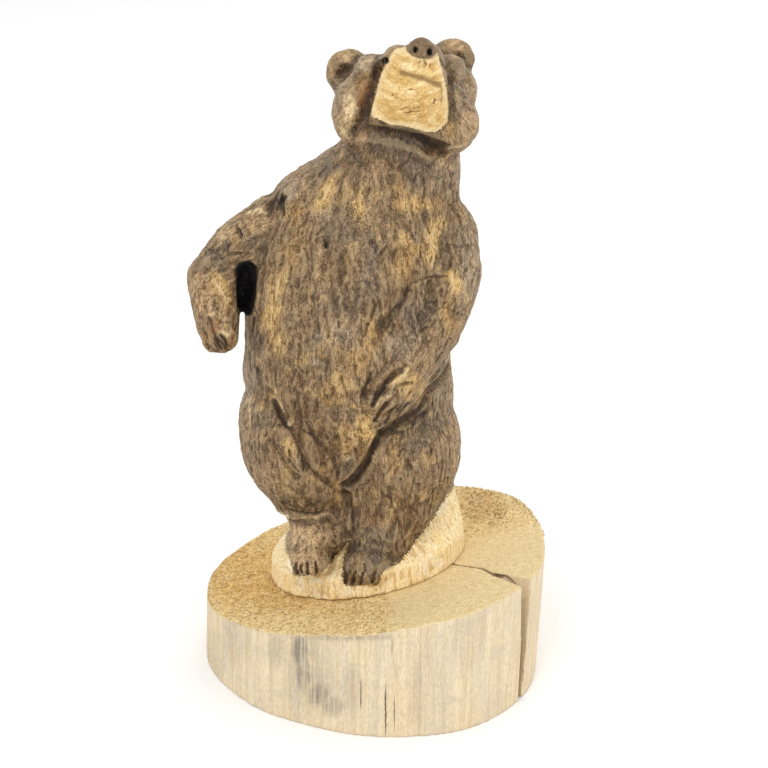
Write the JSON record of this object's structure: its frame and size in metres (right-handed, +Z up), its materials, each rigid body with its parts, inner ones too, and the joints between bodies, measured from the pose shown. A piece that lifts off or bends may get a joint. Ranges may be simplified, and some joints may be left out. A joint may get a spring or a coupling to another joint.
{
  "type": "carved wooden bear",
  "caption": "Chainsaw-carved wooden bear standing upright with its head raised, carved in one with a rough footing and set on a slanted slice of log.",
  "frame": {"origin": "middle of the log slice's underside, on the surface that it stands on", "axes": "+Z up; the bear faces -Y and its left side is at +X"},
  "size_m": [0.2133, 0.224, 0.4],
  "materials": {
    "stained_carving": "dark brown stain worn to ochre on the high cuts, satin, with bare cream wood on the muzzle and the footing",
    "log_wood": "bare, dry and matt, saw-torn on top, weathered grey in places on the side"
  },
  "bodies": {
    "root": {"bear": "stained_carving", "plinth": "log_wood"}
  },
  "joints": []
}
